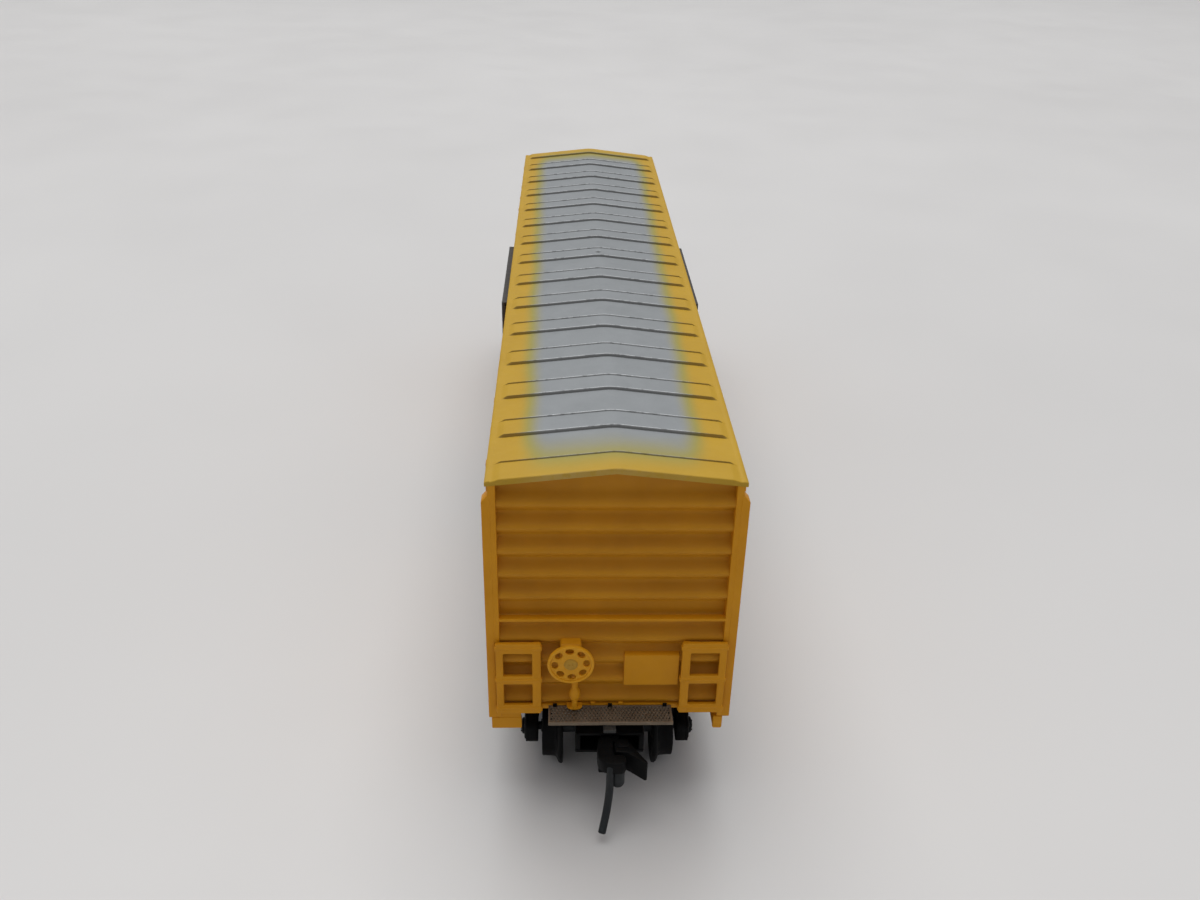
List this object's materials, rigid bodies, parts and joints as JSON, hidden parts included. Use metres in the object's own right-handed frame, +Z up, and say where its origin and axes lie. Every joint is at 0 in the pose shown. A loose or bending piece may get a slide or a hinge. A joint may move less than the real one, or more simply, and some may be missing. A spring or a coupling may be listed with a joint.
{
  "type": "model box car",
  "caption": "Small-scale model railway box car with sliding side doors, swivelling trucks, rolling wheelsets and sprung knuckle couplers.",
  "frame": {"origin": "middle of the car in plan, on the plane of the wheel-flange bottoms", "axes": "+Y along the car, away from the brake-wheel end; +X across, to the right when looking along +Y; +Z up"},
  "size_m": [0.0212, 0.1128, 0.0321],
  "materials": {
    "body_yellow": "satin yellow moulded plastic; the roof carries a soft-edged silver-grey sprayed band",
    "door_black": "satin black moulded plastic",
    "black_plastic": "matt black acetal plastic",
    "wheel_black": "blackened metal, worn brighter on the tread",
    "blackened_steel": "chemically blackened steel wire",
    "etched_metal": "etched perforated sheet, weathered tan",
    "painted_metal": "yellow-painted stamped metal, the paint thin over the hub",
    "plain_steel": "bare steel"
  },
  "bodies": {
    "car_body": {"body_shell": "body_yellow", "underframe": "black_plastic", "weight_plate": "plain_steel", "brake_cylinder": "black_plastic", "air_reservoir": "black_plastic", "control_valve": "black_plastic", "brake_stand": "body_yellow", "end_platform_b": "etched_metal", "kingpin_b": "black_plastic", "end_ladder_b_left": "body_yellow", "end_ladder_b_right": "body_yellow", "side_ladder_b_left": "body_yellow", "side_ladder_b_right": "body_yellow", "corner_step_b_left": "body_yellow", "corner_step_b_right": "body_yellow", "end_platform_a": "etched_metal", "kingpin_a": "black_plastic", "end_ladder_a_left": "body_yellow", "end_ladder_a_right": "body_yellow", "side_ladder_a_left": "body_yellow", "side_ladder_a_right": "body_yellow", "corner_step_a_left": "body_yellow", "corner_step_a_right": "body_yellow"},
    "brake_wheel": {"brake_wheel": "painted_metal"},
    "right_door": {"right_door": "door_black"},
    "left_door": {"left_door": "door_black"},
    "truck_b": {"truck_frame_b": "black_plastic", "coupler_box_lid_b": "black_plastic"},
    "wheelset_b_outer": {"axle_b_outer": "blackened_steel", "wheel_b_outer_right": "wheel_black", "wheel_b_outer_left": "wheel_black"},
    "wheelset_b_inner": {"axle_b_inner": "blackened_steel", "wheel_b_inner_right": "wheel_black", "wheel_b_inner_left": "wheel_black"},
    "coupler_b": {"coupler_guard_arm_b": "black_plastic", "centring_spring_b": "plain_steel"},
    "knuckle_b": {"coupler_knuckle_b": "black_plastic", "trip_pin_b": "blackened_steel"},
    "truck_a": {"truck_frame_a": "black_plastic", "coupler_box_lid_a": "black_plastic"},
    "wheelset_a_outer": {"axle_a_outer": "blackened_steel", "wheel_a_outer_right": "wheel_black", "wheel_a_outer_left": "wheel_black"},
    "wheelset_a_inner": {"axle_a_inner": "blackened_steel", "wheel_a_inner_right": "wheel_black", "wheel_a_inner_left": "wheel_black"},
    "coupler_a": {"coupler_guard_arm_a": "black_plastic", "centring_spring_a": "plain_steel"},
    "knuckle_a": {"coupler_knuckle_a": "black_plastic", "trip_pin_a": "blackened_steel"}
  },
  "joints": [
    {"name": "brake_wheel_turn", "type": "hinge", "parent": "car_body", "child": "brake_wheel", "pos_m": [-0.00332, -0.05115, 0.0146], "axis": [0, 1, 0], "continuous": true},
    {"name": "right_door_slide", "type": "slide", "parent": "car_body", "child": "right_door", "axis": [0, 1, 0], "range_m": [0, 0.0185]},
    {"name": "left_door_slide", "type": "slide", "parent": "car_body", "child": "left_door", "axis": [0, -1, 0], "range_m": [0, 0.0185]},
    {"name": "truck_b_swivel", "type": "hinge", "parent": "car_body", "child": "truck_b", "pos_m": [0, -0.0405, 0.006], "axis": [0, 0, 1], "range_deg": [-15, 15]},
    {"name": "wheelset_b_outer_roll", "type": "hinge", "parent": "truck_b", "child": "wheelset_b_outer", "pos_m": [0, -0.046, 0.00327], "axis": [1, 0, 0], "continuous": true},
    {"name": "wheelset_b_inner_roll", "type": "hinge", "parent": "truck_b", "child": "wheelset_b_inner", "pos_m": [0, -0.035, 0.00327], "axis": [1, 0, 0], "continuous": true},
    {"name": "coupler_b_swing", "type": "hinge", "parent": "truck_b", "child": "coupler_b", "pos_m": [0, -0.0482, 0.0061], "axis": [0, 0, 1], "range_deg": [-10, 10], "stiffness_Nm_per_rad": 0.0001},
    {"name": "knuckle_b_open", "type": "hinge", "parent": "coupler_b", "child": "knuckle_b", "pos_m": [0, -0.0482, 0.0061], "axis": [0, 0, -1], "range_deg": [0, 12], "stiffness_Nm_per_rad": 0.0001},
    {"name": "truck_a_swivel", "type": "hinge", "parent": "car_body", "child": "truck_a", "pos_m": [0, 0.0405, 0.006], "axis": [0, 0, 1], "range_deg": [-15, 15]},
    {"name": "wheelset_a_outer_roll", "type": "hinge", "parent": "truck_a", "child": "wheelset_a_outer", "pos_m": [0, 0.046, 0.00327], "axis": [1, 0, 0], "continuous": true},
    {"name": "wheelset_a_inner_roll", "type": "hinge", "parent": "truck_a", "child": "wheelset_a_inner", "pos_m": [0, 0.035, 0.00327], "axis": [1, 0, 0], "continuous": true},
    {"name": "coupler_a_swing", "type": "hinge", "parent": "truck_a", "child": "coupler_a", "pos_m": [0, 0.0482, 0.0061], "axis": [0, 0, 1], "range_deg": [-10, 10], "stiffness_Nm_per_rad": 0.0001},
    {"name": "knuckle_a_open", "type": "hinge", "parent": "coupler_a", "child": "knuckle_a", "pos_m": [0, 0.0482, 0.0061], "axis": [0, 0, -1], "range_deg": [0, 12], "stiffness_Nm_per_rad": 0.0001}
  ]
}
